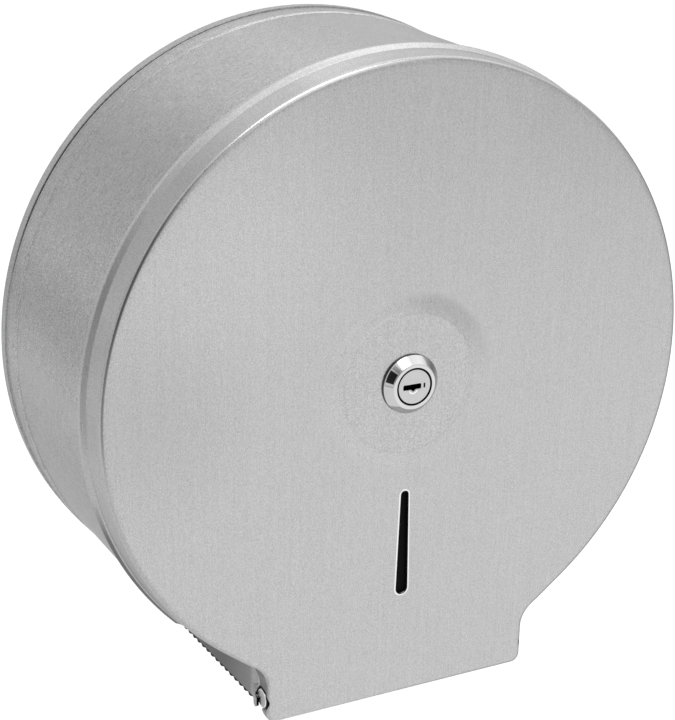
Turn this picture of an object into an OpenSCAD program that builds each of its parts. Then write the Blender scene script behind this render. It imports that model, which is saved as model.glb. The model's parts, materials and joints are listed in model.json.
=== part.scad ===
// Wall mounted dispenser for one jumbo roll of toilet paper.
// The wall is the plane Y = 0, the room lies towards -Y, and the drum's axis runs along Y
// through the origin. Pieces are drawn face-on, with their third axis as the height above
// the wall, and wall_frame() stands them up.

/* [Drum] */
// Distance from the wall to the lid's front face
body_depth = 110; // [100:1:130]
// Outside radius of the drum wall
drum_r = 133.6; // [115:0.1:150]
// Thickness of the sheet that the drum and the lid are made of
sheet_t = 0.8; // [0.6:0.1:0.8]
// Depth of the swollen band along the drum's rear edge
rear_band_w = 9.6; // [6:0.2:14]
// How far that band stands out from the drum wall
rear_band_step = 0.6; // [0.3:0.1:1]
// Open line between the drum wall and the back plate's rim
rear_gap = 1.1; // [0.8:0.1:1.6]
// How far the drum wall reaches in under the lid's lip
lip_overlap = 1.5; // [1:0.1:2]

/* [Back plate] */
// Thickness of the back plate
plate_t = 1.2; // [1:0.1:1.6]
// How far the back plate's rim stands out from the drum wall
rim_step = 1.2; // [0.6:0.1:2]
// Height of the rim above the wall
rim_h = 6.6; // [5:0.2:10]
// Radius of the bend between the back plate and its rim
rim_bend_r = 2; // [1.6:0.1:3]
// Height of the collar inside the drum wall
collar_h = 25; // [20:1:40]
// Width of the collar's foot on the back plate
collar_foot_w = 11; // [8:1:16]
// Sideways distance between the wall screw holes
screw_dx = 140; // [120:5:150]
// Upright distance between the wall screw holes
screw_dz = 120; // [100:5:130]
// Radius of the wall screw holes
screw_hole_r = 3; // [2.5:0.25:3.5]

/* [Lid] */
// How much smaller the lid's flange is than the drum wall
lid_step = 0.1; // [0:0.1:0.4]
// Radius of the bend between the lid's face and its flange
edge_r = 1.8; // [1.4:0.1:2.4]
// Depth of the lid's straight flange
flange_w = 11.6; // [10:0.2:12]
// Depth over which the lid's lip flares out
flare_w = 3; // [2:0.2:4]
// How far the lip flares out
flare_step = 1.5; // [1.4:0.1:1.8]
// Width of the straight lip behind the flare
lip_w = 1.3; // [1:0.1:2]
// Half the width of the lid's skirt
skirt_hw = 61.9; // [58:0.5:64]
// How far the skirt hangs below the lid's circle
skirt_drop = 8.5; // [7:0.5:12]
// Radius of the hollow curve from the drum's circle to the skirt
neck_r = 11.5; // [9:0.5:14]
// Radius of the skirt's lower corners
corner_r = 4; // [3:0.5:5]
// Depth of the turned edge along the skirt's lower edge
hem_w = 6; // [4:0.5:7]
// Foot radius of the raised boss round the lock
boss_r = 37; // [34:1:42]
// Top radius of the raised boss
boss_top_r = 29; // [25:1:31]
// Height of the raised boss
boss_h = 1.3; // [0.8:0.1:2]

/* [View slot] */
// Distance from the axis down to the middle of the view slot
slot_z = 71; // [65:1:85]
// Distance between the centres of its two round ends
slot_run = 42; // [30:1:50]
// Radius of its upper end
slot_top_r = 1.8; // [1.2:0.1:3]
// Radius of its lower end
slot_low_r = 2.6; // [2:0.1:4]

/* [Hinge] */
// Depth of the hinge axis behind the lid's face
hinge_d = 4.8; // [4.6:0.1:5.2]
// Distance from the skirt's lower edge up to the hinge axis
hinge_rise = 9; // [8.5:0.5:10]
// Width of the ears above the hinge rivets
ear_w = 6.4; // [6:0.2:8]
// Radius of the hinge rivets' shanks
rivet_r = 2; // [1.6:0.1:2.2]
// Radius of the hinge rivets' heads
rivet_head_r = 4; // [3.6:0.1:4.1]
// Thickness of the hinge rivets' heads
rivet_head_t = 0.9; // [0.7:0.1:1]
// Thickness of the hinge washers
washer_t = 0.5; // [0.4:0.1:0.6]

/* [Tear arms] */
// Thickness of the arms with the tear teeth
arm_t = 1; // [0.8:0.1:1.3]
// Gap between the arms and the sides of the skirt, which swings in between them
arm_gap = 0.15; // [0.15:0.05:0.5]
// How far the front teeth lie below the lid's circle
tooth_drop = 2.3; // [2:0.1:4]
// How much lower the teeth lie at the wall than at the front
tooth_fall = 3.4; // [0:0.2:4]
// Distance from tooth to tooth
tooth_pitch = 4.9; // [4:0.1:7]
// Height of the teeth
tooth_h = 1.5; // [1:0.1:2.5]
// How far the guard tab in front of the teeth hangs below them
tab_drop = 3.4; // [2.4:0.2:4]
// Width of the guard tab
tab_w = 3.8; // [3:0.2:7]

/* [Spindle] */
// Outside radius of the spindle tube
tube_r = 16; // [15:0.5:18]
// Wall of the spindle tube
tube_t = 1.5; // [1.2:0.1:1.8]
// Radius of the foot that carries the spindle
foot_r = 34; // [30:1:40]
// Thickness of the spindle's foot
foot_t = 1.5; // [1.2:0.1:2]
// Outside radius of the turning roll hub
hub_r = 21; // [20:0.5:24]
// Radius of the hub's rear flange, which the roll rests against
hub_flange_r = 33; // [28:1:40]
// Thickness of the hub's rear flange
hub_flange_t = 3; // [2:0.5:4]
// Length of the hub in front of that flange
hub_l = 83; // [76:1:83]

/* [Lock] */
// Radius of the lock's bezel where it meets the lid
bezel_r = 13; // [12:0.5:15]
// Radius of the bezel's front edge
bezel_top_r = 9.6; // [9:0.1:10.5]
// Height of the bezel
bezel_h = 4.2; // [3:0.2:5]
// Radius of the lock's threaded barrel
barrel_r = 9; // [8.6:0.1:9.4]
// Radius of the turning plug
plug_r = 7.9; // [7:0.1:8]
// Length of the key slot
key_slot_l = 10.2; // [8:0.2:11]
// Width of the key slot
key_slot_w = 1.9; // [1.4:0.1:2.4]
// Length of the cam from the plug's axis
cam_l = 12.7; // [12:0.1:13]
// Width of the cam
cam_w = 7; // [6:0.5:8]
// Thickness of the cam
cam_t = 1.6; // [1.2:0.1:2]

/* [Hidden] */
$fn = 96;

steel = [0.76, 0.76, 0.76];
dark_steel = [0.5, 0.5, 0.5];
chrome = [0.88, 0.88, 0.9];
nylon = [0.92, 0.92, 0.9];
hub_grey = [0.35, 0.36, 0.38];
black_rubber = [0.1, 0.1, 0.1];
smoke = [0.12, 0.12, 0.13];
mirrored = [1, 0, 0];

cut = 1;                // how far a cutting shape runs past what it cuts
run_fit = 0.05;         // radial clearance of what turns
seat = 0.02;            // clearance of what sits fast in its hole
side_fit = 0.05;        // clearance between faces that turn past each other
sheet_fit = 0.15;       // clearance between sheets that lie in each other

// Main sizes
lid_r = drum_r - lid_step;
rim_r = drum_r + rim_step;
skirt_z = lid_r + skirt_drop;
hinge_z = skirt_z - hinge_rise;
tooth_z = lid_r + tooth_drop;

// Drum
wall_h = body_depth - flange_w - flare_w - lip_w + lip_overlap;
wall_low_h = rim_h + rear_gap;
band_h = wall_low_h + rear_band_w;
band_slope_h = 2 * rear_band_step;
collar_r = drum_r - sheet_t - sheet_fit;
collar_t = 1;

// Hinge and arms
cup_r = rivet_head_r + 0.15;
lobe_r = cup_r + sheet_t;
cup_step = 0.15;        // how much smaller the floor of the pressed cup is than the ear round it
ear_in = skirt_hw - 2 * sheet_t;                // inner face of the pressed cup in each ear
nose_out = ear_in - washer_t - 2 * side_fit;
nose_in = nose_out - arm_t;
nose_r = hinge_d - sheet_t - 0.4;
arm_in = skirt_hw + arm_gap;
arm_out = arm_in + arm_t;
wall_end_x = arm_out + 0.3;
joggle_front_d = hinge_d + lobe_r + 0.3;
joggle_back_d = joggle_front_d + 1.1 * (arm_in - nose_in);
head_bevel = 0.3;
relief = 0.5;           // slit between the guard tab and the bent tongue above it
tongue_low_z = -hinge_z + 0.5;
tongue_top_in = 2;      // how far the tongue starts below the arm's top
arm_top_lap = 1.64;     // how far the arms reach up past the cut ends of the drum wall
arm_top_z = sqrt(pow(collar_r, 2) - pow(arm_in, 2)) - arm_top_lap;
arm_back_d = body_depth - plate_t;
tooth_start_d = joggle_back_d - 2.7;
tooth_root_z = tooth_z - tooth_h;
tooth_count = floor((arm_back_d - tooth_start_d) / tooth_pitch);
tab_d = hinge_d + 1.6;
tab_round_r = tab_w / 2;
fall_slope = tooth_fall / arm_back_d;
seam_w = 12;            // width of the flanges that the arms are joined by
small_rivet_r = 1.6;
top_rivet_in = 7;       // distance of an arm's rivets from the arm's top and from the teeth
low_rivet_in = 4;

// Lid
neck_z = sqrt(pow(lid_r + neck_r, 2) - pow(skirt_hw + neck_r, 2));
skirt_step = 0.1;       // the skirt's flange is this much narrower than the rim's
neck_lap = 1;           // keeps the neck's filling clear of the point where its curves touch
lip_d = flange_w + flare_w + lip_w;
lip_end_a = 45;         // how far below level the rolled edge and the lip reach, clear of the hinges
ear_top_z = neck_z - 4;
ear_fillet_r = flange_w - ear_w;
slot_top_z = -slot_z + slot_run / 2;
slot_low_z = -slot_z - slot_run / 2;
slot_lap = 0.03;
window_w = 17;
window_h = slot_run + 12;
window_t = 1.2;
window_cut = 2.5;       // size of the window's cut corners

// Spindle
foot_h = plate_t + foot_t;
hub_washer_t = 1;
hub_washer_w = 5;
hub_low_h = foot_h + hub_washer_t + side_fit;
hub_top_h = hub_low_h + hub_flange_t + hub_l;
front_washer_h = hub_top_h + side_fit;
tube_h = front_washer_h + hub_washer_t + side_fit;
tube_in_r = tube_r - tube_t;
stub_l = 6;             // length of the foot's and the keeper's collars inside the tube
keeper_t = 1.5;
keeper_hole_r = barrel_r + 1.2;
keeper_collar_t = 0.9;
rib_count = 8;
rib_t = 1.2;

// Lock
boss_face_d = -boss_h;
seal_d = 0.4;           // thickness of the seal ring under the bezel
bezel_d = boss_face_d - seal_d;
bezel_rim = 0.8;
plug_d = bezel_d - bezel_h + 0.2;
cam_d = body_depth - tube_h + 0.4;
barrel_end_d = cam_d - 0.1;
end_wall_t = 3;
key_slot_deep = 6;
tail_bore_l = 5;
plug_end_d = barrel_end_d - end_wall_t - 0.3;
nut_t = 4;
lock_washer_t = 1;
tail_r = 3.2;
tail_flat = tail_r - 1;
cam_screw_r = 1.5;

module wall_frame() {
    rotate([90, 0, 0]) children();
}

// Drawn with the third axis as the depth behind the lid's face
module lid_frame() {
    wall_frame() translate([0, 0, body_depth]) mirror([0, 0, 1]) children();
}

module both_sides() {
    for (side = [0, 1]) mirror(side * mirrored) children();
}

// A ring about the drum's axis
module ring(outer_r, inner_r, low_h, high_h) {
    translate([0, 0, low_h]) linear_extrude(high_h - low_h) difference() {
        circle(outer_r);
        circle(inner_r);
    }
}

// The space between the arms, below the drum
module outlet_gap(half_w, low_h, high_h) {
    translate([-half_w, -2 * drum_r, low_h]) cube([2 * half_w, 1.4 * drum_r, high_h - low_h]);
}

module screw_places() {
    for (sx = [-1, 1], sy = [-1, 1]) translate([sx * screw_dx / 2, sy * screw_dz / 2]) children();
}

module back_plate_profile() {
    difference() {
        union() {
            square([rim_r - rim_bend_r, plate_t]);
            translate([rim_r - rim_bend_r, rim_bend_r]) circle(rim_bend_r);
            translate([rim_r - rim_bend_r, rim_bend_r]) square([rim_bend_r, rim_h - rim_bend_r]);
        }
        translate([rim_r - rim_bend_r, rim_bend_r]) circle(rim_bend_r - plate_t);
        translate([rim_r - 2 * rim_bend_r, plate_t]) square([2 * rim_bend_r - plate_t, rim_h]);
    }
}

module back_plate() color(steel) wall_frame() difference() {
    union() {
        difference() {
            rotate_extrude() back_plate_profile();
            outlet_gap(wall_end_x, plate_t, rim_h + cut);
        }
        translate([-arm_out, -tooth_z - tooth_fall, 0])
            cube([2 * arm_out, tooth_z + tooth_fall - arm_top_z + seam_w, plate_t]);
    }
    translate([0, 0, -cut]) linear_extrude(plate_t + 2 * cut) screw_places() circle(screw_hole_r);
    arm_rivet_places() translate([0, 0, -cut]) cylinder(r = small_rivet_r + seat, h = plate_t + 2 * cut);
    spindle_rivet_places() translate([0, 0, -cut])
        cylinder(r = small_rivet_r + seat, h = plate_t + 2 * cut);
}

// Flat ring on the back plate that the collar stands on
module collar_foot_ring() color(steel) wall_frame() difference() {
    ring(collar_r, collar_r - collar_foot_w, plate_t, plate_t + collar_t);
    outlet_gap(wall_end_x, 0, collar_h);
}

module rear_collar() color(dark_steel) wall_frame() difference() {
    ring(collar_r, collar_r - collar_t, plate_t + collar_t, collar_h);
    outlet_gap(wall_end_x, 0, collar_h + cut);
}

module drum_wall() color(steel) wall_frame() difference() {
    rotate_extrude() polygon([
        [drum_r - sheet_t, wall_h],
        [drum_r, wall_h],
        [drum_r, band_h + band_slope_h],
        [drum_r + rear_band_step, band_h],
        [drum_r + rear_band_step, wall_low_h],
        [drum_r + rear_band_step - sheet_t, wall_low_h],
        [drum_r + rear_band_step - sheet_t, band_h],
        [drum_r - sheet_t, band_h + band_slope_h]
    ]);
    outlet_gap(wall_end_x, 0, body_depth);
}

// Side views of an arm: first the depth behind the lid's face, then the height.
// The plate behind the bend carries the teeth along its lower edge.
module arm_plate_side() {
    polygon([
        [joggle_back_d, -arm_top_z],
        [arm_back_d, -arm_top_z],
        [arm_back_d, -tooth_root_z - fall_slope * arm_back_d],
        [joggle_back_d, -tooth_root_z - fall_slope * joggle_back_d]
    ]);
    for (i = [0 : tooth_count - 1]) {
        d = tooth_start_d + i * tooth_pitch;
        translate([d, -tooth_root_z - fall_slope * d]) polygon([
            [0, tooth_h],
            [0, 0],
            [tooth_pitch * 0.55, -tooth_h],
            [tooth_pitch * 0.8, -tooth_h],
            [tooth_pitch * 0.95, 0],
            [tooth_pitch * 0.95, tooth_h]
        ]);
    }
}

// The strip under the bent tongue, with the rounded guard tab at its front end
module guard_tab_side() {
    tab_low_z = -tooth_z - tab_drop;
    difference() {
        union() {
            translate([tab_d, -tooth_root_z]) square([joggle_back_d - tab_d, tongue_low_z - relief + tooth_root_z]);
            translate([tab_d, tab_low_z + tab_round_r]) square([tab_w, tooth_z + tab_drop - tooth_root_z]);
            translate([tab_d + tab_round_r, tab_low_z + tab_round_r]) circle(tab_round_r);
        }
        translate([hinge_d, -hinge_z]) circle(cup_r + 0.4);
    }
}

// The tongue that bends inwards and carries the hinge rivet
module tongue_side() {
    difference() {
        union() {
            translate([hinge_d, -hinge_z]) circle(nose_r);
            polygon([
                [hinge_d - nose_r, -hinge_z],
                [hinge_d - 0.5, -hinge_z + 1.8 * nose_r],
                [joggle_back_d - 1, -arm_top_z - tongue_top_in],
                [joggle_back_d + 1, -arm_top_z - tongue_top_in],
                [joggle_back_d + 1, tongue_low_z],
                [joggle_front_d + 0.4, tongue_low_z],
                [joggle_front_d - 0.4, -hinge_z - nose_r],
                [hinge_d, -hinge_z - nose_r]
            ]);
        }
        translate([hinge_d, -hinge_z]) circle(rivet_r + seat);
    }
}

// Plan of the tongue: first the sideways place, then the depth behind the lid's face
module tongue_plan() {
    polygon([
        [arm_out, joggle_back_d + 1],
        [arm_out, joggle_back_d],
        [nose_out, joggle_front_d],
        [nose_out, 0],
        [nose_in, 0],
        [nose_in, joggle_front_d + 0.5],
        [arm_in, joggle_back_d + 0.5],
        [arm_in, joggle_back_d + 1]
    ]);
}

// Stands a side view up and gives it a thickness along X
module side_sheet(low_x, high_x) {
    translate([low_x, -body_depth, 0]) rotate([90, 0, 90]) linear_extrude(high_x - low_x) children();
}

module tear_arm() {
    difference() {
        union() {
            side_sheet(arm_in, arm_out) {
                arm_plate_side();
                guard_tab_side();
            }
            intersection() {
                side_sheet(nose_in, arm_out) tongue_side();
                translate([0, -body_depth, -hinge_z - lobe_r]) linear_extrude(hinge_z + lobe_r - arm_top_z)
                    tongue_plan();
            }
            wall_frame() seam_flanges();
        }
        wall_frame() arm_rivet_places() translate([0, 0, plate_t - cut])
            cylinder(r = small_rivet_r + seat, h = arm_t + 2 * cut);
    }
}

// Flanges that join an arm to the drum wall and to the back plate
module seam_flanges() {
    start_a = asin(arm_in / collar_r);
    translate([0, 0, collar_h + 0.3]) rotate([0, 0, -90 + start_a])
        rotate_extrude(angle = seam_w / collar_r * 180 / PI) translate([collar_r - arm_t, 0])
            square([arm_t, wall_h - collar_h - 1.3]);
    translate([arm_in - seam_w, -tooth_root_z - tooth_fall, plate_t])
        cube([seam_w + arm_t / 2, tooth_root_z + tooth_fall - arm_top_z, arm_t]);
}

module arm_rivet_places() {
    both_sides() for (z = [arm_top_z + top_rivet_in, tooth_root_z - low_rivet_in])
        translate([arm_in - seam_w / 2, -z]) children();
}

module right_tear_arm() color(dark_steel) tear_arm();
module left_tear_arm() color(dark_steel) mirror(mirrored) tear_arm();

// Dome with its flat side on the plane of the first two axes
module dome(base_r, high) {
    ball_r = (base_r * base_r + high * high) / (2 * high);
    rotate_extrude() intersection() {
        translate([0, high - ball_r]) circle(ball_r);
        square([base_r, high]);
    }
}

// A rivet along the third axis: its shank fills the grip, with a domed head above it
module domed_rivet(shank_r, head_r, head_t, grip) {
    cylinder(r = shank_r, h = grip);
    translate([0, 0, grip]) dome(head_r, head_t);
}

module tear_arm_rivets() color(steel) wall_frame() arm_rivet_places()
    domed_rivet(small_rivet_r, 3, 1, plate_t + arm_t);

module spindle_rivet_places() {
    for (a = [90, 210, 330]) rotate([0, 0, a]) translate([(foot_r + tube_r) / 2 + 1, 0]) children();
}

module spindle_foot() color(dark_steel) wall_frame() difference() {
    union() {
        translate([0, 0, plate_t]) cylinder(r = foot_r, h = foot_t);
        ring(tube_in_r - seat, tube_in_r - tube_t, plate_t, foot_h + stub_l);
    }
    cylinder(r = tube_in_r - tube_t, h = foot_h + cut);
    spindle_rivet_places() cylinder(r = small_rivet_r + seat, h = foot_h + cut);
}

module spindle_tube() color(steel) wall_frame() ring(tube_r, tube_in_r, foot_h, tube_h);

module spindle_rivets() color(steel) wall_frame() spindle_rivet_places()
    domed_rivet(small_rivet_r, 2.8, 0.9, foot_h);

module rear_hub_washer() color(nylon) wall_frame()
    ring(tube_r + hub_washer_w, tube_r + run_fit, foot_h, foot_h + hub_washer_t);

module roll_hub() color(hub_grey) wall_frame() difference() {
    union() {
        ring(hub_flange_r, tube_r + run_fit, hub_low_h, hub_low_h + hub_flange_t);
        ring(tube_r + 2 * rib_t, tube_r + run_fit, hub_low_h, hub_top_h);
        ring(hub_r, hub_r - rib_t, hub_low_h, hub_top_h);
        for (i = [0 : rib_count - 1]) rotate([0, 0, i * 360 / rib_count])
            translate([tube_r + rib_t, -rib_t / 2, hub_low_h])
                cube([hub_r - tube_r - 1.5 * rib_t, rib_t, hub_top_h - hub_low_h]);
    }
    for (i = [0 : rib_count - 1]) rotate([0, 0, (i + 0.5) * 360 / rib_count])
        translate([(hub_flange_r + hub_r) / 2, 0, hub_low_h - cut]) cylinder(r = 3, h = hub_flange_t + 2 * cut);
}

module front_hub_washer() color(nylon) wall_frame()
    ring(hub_r - 0.6, tube_r + run_fit, front_washer_h, front_washer_h + hub_washer_t);

// Keeper on the front of the tube: the barrel enters it, and the cam turns behind it
module lock_keeper() color(steel) wall_frame() difference() {
    union() {
        translate([0, 0, tube_h]) cylinder(r = hub_r - 0.4, h = keeper_t);
        ring(tube_in_r - seat, tube_in_r - keeper_collar_t, tube_h - stub_l, tube_h + keeper_t / 2);
    }
    translate([0, 0, tube_h - cut]) cylinder(r = keeper_hole_r, h = keeper_t + 2 * cut);
    translate([-cam_w / 2 - 1, 0, tube_h - stub_l - cut]) cube([cam_w + 2, cam_l + 1, keeper_t + stub_l + 2 * cut]);
    translate([-cam_w / 2 - 1, 0, tube_h - stub_l - cut]) cube([cam_w + 2, tube_r, stub_l + cut]);
}

// Hinge rivet: closed on the inside of the nose, with its flat head lying in the ear's cup
module hinge_rivet() {
    shank_l = skirt_hw - sheet_t + side_fit - nose_in;
    lid_frame() translate([nose_in, -hinge_z, hinge_d]) rotate([0, 90, 0]) {
        cylinder(r = rivet_r, h = shank_l);
        mirror([0, 0, 1]) dome(nose_r, 1.2);
        translate([0, 0, shank_l]) rotate_extrude() polygon([
            [0, 0],
            [rivet_head_r, 0],
            [rivet_head_r, rivet_head_t - head_bevel],
            [rivet_head_r - head_bevel, rivet_head_t],
            [0, rivet_head_t]
        ]);
    }
}
module right_hinge_rivet() color(chrome) hinge_rivet();
module left_hinge_rivet() color(chrome) mirror(mirrored) hinge_rivet();

module hinge_washer() {
    lid_frame() translate([nose_out + side_fit, -hinge_z, hinge_d]) rotate([0, 90, 0])
        difference() {
            cylinder(r = nose_r, h = washer_t);
            translate([0, 0, -cut]) cylinder(r = rivet_r + run_fit, h = washer_t + 2 * cut);
        }
}
module right_hinge_washer() color(nylon) hinge_washer();
module left_hinge_washer() color(nylon) mirror(mirrored) hinge_washer();

// Outline of the lid's face, drawn in by an inset
module lid_outline(inset) {
    difference() {
        union() {
            circle(lid_r - inset);
            translate([-skirt_hw + inset, -skirt_z + corner_r])
                square([2 * (skirt_hw - inset), skirt_z - corner_r]);
            translate([-skirt_hw + corner_r, -skirt_z + inset])
                square([2 * (skirt_hw - corner_r), corner_r]);
            both_sides() translate([skirt_hw - corner_r, -skirt_z + corner_r]) circle(corner_r - inset);
            polygon([[-skirt_hw - neck_r, -neck_z - neck_lap], [skirt_hw + neck_r, -neck_z - neck_lap], [0, -neck_lap]]);
        }
        both_sides() translate([skirt_hw + neck_r, -neck_z]) circle(neck_r + inset);
    }
}

// Everything below the two rays at which the rolled edge ends
module below_rolled_edge() {
    polygon([[0, 0], [2 * lid_r, -2 * lid_r], [-2 * lid_r, -2 * lid_r]]);
}

// Section of the lid's rolled edge, flange and flared lip
module rim_profile() {
    difference() {
        union() {
            translate([lid_r - edge_r, edge_r]) circle(edge_r);
            translate([lid_r - sheet_t, edge_r]) square([sheet_t, flange_w - edge_r]);
            translate([lid_r - edge_r - 1, 0]) square([1, sheet_t]);
        }
        translate([lid_r - edge_r, edge_r]) circle(edge_r - sheet_t);
        translate([lid_r - 3 * edge_r, edge_r]) square([3 * edge_r - sheet_t, flange_w]);
        translate([lid_r - 3 * edge_r, sheet_t]) square([2 * edge_r, flange_w]);
    }
    polygon([
        [lid_r - sheet_t, flange_w],
        [lid_r, flange_w],
        [lid_r + flare_step, flange_w + flare_w],
        [lid_r + flare_step, lip_d],
        [lid_r + flare_step - sheet_t, lip_d],
        [lid_r + flare_step - sheet_t, flange_w + flare_w]
    ]);
}

module slot_shape() {
    translate([0, slot_top_z]) circle(slot_top_r);
    translate([0, slot_low_z]) circle(slot_low_r);
    polygon([
        [slot_top_r - slot_lap, slot_top_z],
        [slot_low_r - slot_lap, slot_low_z],
        [slot_lap - slot_low_r, slot_low_z],
        [slot_lap - slot_top_r, slot_top_z]
    ]);
}

// The flange round the necks and the skirt, with the ears, and a shorter one along the bottom
module skirt_flange() {
    difference() {
        linear_extrude(flange_w - skirt_step) intersection() {
            difference() {
                lid_outline(0);
                lid_outline(sheet_t);
            }
            below_rolled_edge();
        }
        both_sides() translate([skirt_hw - corner_r, 0, 0]) swap_first_and_third()
            linear_extrude(neck_r + corner_r) ear_cut();
        translate([-skirt_hw + corner_r, -skirt_z - cut, hem_w])
            cube([2 * (skirt_hw - corner_r), corner_r + cut, flange_w]);
    }
}

// What is cut from behind the ears, in side view: depth behind the face, then height
module ear_cut() {
    difference() {
        union() {
            translate([ear_w + ear_fillet_r, -ear_top_z - ear_fillet_r]) circle(ear_fillet_r);
            translate([ear_w, -skirt_z - cut])
                square([flange_w + cut - ear_w, skirt_z + cut - ear_top_z - ear_fillet_r]);
            polygon([
                [ear_w, -hinge_z],
                [ear_w, -hinge_z - lobe_r + 1],
                [sheet_t + 0.8, -skirt_z + 1],
                [sheet_t + 0.4, -skirt_z - cut],
                [flange_w, -skirt_z - cut]
            ]);
        }
        translate([hinge_d, -hinge_z]) circle(lobe_r);
    }
}

module front_lid() color(steel) difference() {
    lid_frame() {
        linear_extrude(sheet_t) difference() {
            union() {
                circle(lid_r - edge_r);
                intersection() {
                    lid_outline(0);
                    below_rolled_edge();
                }
            }
            slot_shape();
            circle(boss_r);
        }
        rotate([0, 0, -lip_end_a]) rotate_extrude(angle = 180 + 2 * lip_end_a) rim_profile();
        skirt_flange();
        rotate_extrude() polygon([
            [barrel_r + seat, boss_face_d],
            [boss_top_r, boss_face_d],
            [boss_r, 0],
            [boss_r, sheet_t],
            [boss_top_r, boss_face_d + sheet_t],
            [barrel_r + seat, boss_face_d + sheet_t]
        ]);
        both_sides() hinge_cup();
    }
    both_sides() lid_frame() translate([0, -hinge_z, hinge_d]) rotate([0, 90, 0]) {
        cylinder(r = rivet_r + run_fit, h = skirt_hw + cut);
        translate([0, 0, skirt_hw - sheet_t]) cylinder(r = cup_r, h = sheet_t + cut);
    }
}

// Smoked strip glued to the lid's inner face behind the view slot
module slot_window() color(smoke) lid_frame() translate([0, -slot_z, sheet_t]) linear_extrude(window_t)
    intersection() {
        square([window_w, window_h], center = true);
        rotate(45) square((window_w + window_h) / sqrt(2) - window_cut, center = true);
    }

module swap_first_and_third() {
    multmatrix([[0, 0, 1, 0], [0, 1, 0, 0], [1, 0, 0, 0], [0, 0, 0, 1]]) children();
}

// The ear is pressed in by one sheet round each rivet
module hinge_cup() {
    intersection() {
        translate([ear_in, -hinge_z, hinge_d]) rotate([0, 90, 0]) cylinder(r = lobe_r - cup_step, h = sheet_t);
        translate([0, -skirt_z, sheet_t / 2]) cube([skirt_hw, skirt_z, flange_w]);
    }
}

module lock_barrel() color(chrome) lid_frame() difference() {
    union() {
        rotate_extrude() polygon([
            [0, bezel_d - bezel_h],
            [bezel_top_r, bezel_d - bezel_h],
            [bezel_r, bezel_d - bezel_rim],
            [bezel_r, bezel_d],
            [0, bezel_d]
        ]);
        translate([0, 0, bezel_d]) cylinder(r = barrel_r, h = barrel_end_d - bezel_d);
    }
    translate([0, 0, bezel_d - bezel_h - cut])
        cylinder(r = plug_r + run_fit, h = barrel_end_d - end_wall_t - bezel_d + bezel_h + cut);
    translate([0, 0, barrel_end_d - end_wall_t - cut]) cylinder(r = tail_r + run_fit, h = end_wall_t + 2 * cut);
}

module lock_seal_ring() color(black_rubber) lid_frame() translate([0, 0, bezel_d])
    linear_extrude(seal_d) difference() {
        circle(bezel_r - 0.4);
        circle(barrel_r + seat);
    }

module lock_washer() color(steel) lid_frame() translate([0, 0, boss_face_d + sheet_t])
    linear_extrude(lock_washer_t) difference() {
        circle(barrel_r + 4);
        circle(barrel_r + seat);
    }

module lock_nut() color(steel) lid_frame()
    translate([0, 0, boss_face_d + sheet_t + lock_washer_t]) linear_extrude(nut_t) difference() {
        circle(barrel_r + 4.4, $fn = 6);
        circle(barrel_r + seat);
    }

module lock_plug() color(chrome) lid_frame() difference() {
    union() {
        translate([0, 0, plug_d]) cylinder(r = plug_r, h = plug_end_d - plug_d);
        translate([0, 0, plug_end_d - cut]) cylinder(r = tail_r, h = cam_d - plug_end_d + cut);
        translate([-tail_flat, -tail_flat, cam_d - cut]) cube([2 * tail_flat, 2 * tail_flat, cam_t + cut]);
    }
    translate([-key_slot_l / 2, -key_slot_w / 2, plug_d - cut]) cube([key_slot_l, key_slot_w, key_slot_deep + cut]);
    translate([0, 0, cam_d - tail_bore_l]) cylinder(r = cam_screw_r + seat, h = tail_bore_l + 2 * cam_t);
}

module lock_cam() color(steel) lid_frame() translate([0, 0, cam_d]) linear_extrude(cam_t) difference() {
    union() {
        circle(cam_w / 2 + 1);
        translate([-cam_w / 2, 0]) square([cam_w, cam_l - cam_w / 2]);
        translate([0, cam_l - cam_w / 2]) circle(cam_w / 2);
    }
    square(2 * (tail_flat + seat), center = true);
}

module cam_screw() color(dark_steel) lid_frame() translate([0, 0, cam_d + cam_t]) {
    cylinder(r = tail_r + 1, h = 1.6);
    translate([0, 0, -4.5]) cylinder(r = cam_screw_r, h = 5);
}

back_plate();
collar_foot_ring();
rear_collar();
drum_wall();
left_tear_arm();
right_tear_arm();
tear_arm_rivets();
spindle_foot();
spindle_tube();
spindle_rivets();
rear_hub_washer();
roll_hub();
front_hub_washer();
lock_keeper();
left_hinge_rivet();
right_hinge_rivet();
left_hinge_washer();
right_hinge_washer();
front_lid();
slot_window();
lock_barrel();
lock_seal_ring();
lock_washer();
lock_nut();
lock_plug();
lock_cam();
cam_screw();
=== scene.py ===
import json
import math

import bpy
import numpy as np
from mathutils import Matrix, Vector


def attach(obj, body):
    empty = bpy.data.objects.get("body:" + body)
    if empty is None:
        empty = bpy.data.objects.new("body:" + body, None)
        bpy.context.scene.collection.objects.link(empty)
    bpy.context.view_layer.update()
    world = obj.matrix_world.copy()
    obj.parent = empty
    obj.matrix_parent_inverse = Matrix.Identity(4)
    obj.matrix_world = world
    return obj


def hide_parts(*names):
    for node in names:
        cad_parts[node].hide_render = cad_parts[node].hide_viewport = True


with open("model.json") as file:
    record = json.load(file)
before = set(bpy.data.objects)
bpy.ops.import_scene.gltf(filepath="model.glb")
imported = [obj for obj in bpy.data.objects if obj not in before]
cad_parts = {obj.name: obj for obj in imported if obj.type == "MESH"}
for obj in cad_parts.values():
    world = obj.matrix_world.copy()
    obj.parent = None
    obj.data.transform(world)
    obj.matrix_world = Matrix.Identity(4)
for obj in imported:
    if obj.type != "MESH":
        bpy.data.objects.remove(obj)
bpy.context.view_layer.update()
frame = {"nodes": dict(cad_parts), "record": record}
scene = bpy.context.scene
nodes = frame["nodes"]
mm = 0.001
print("stage 1: frame loaded,", len(nodes), "nodes")


# Shader maths as plain expressions

def mathOperator(operation, swapped=False):     # an operator that adds one Math node
    def applied(wire, other):
        return wire.math(operation, other, swapped=swapped)
    return applied


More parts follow.
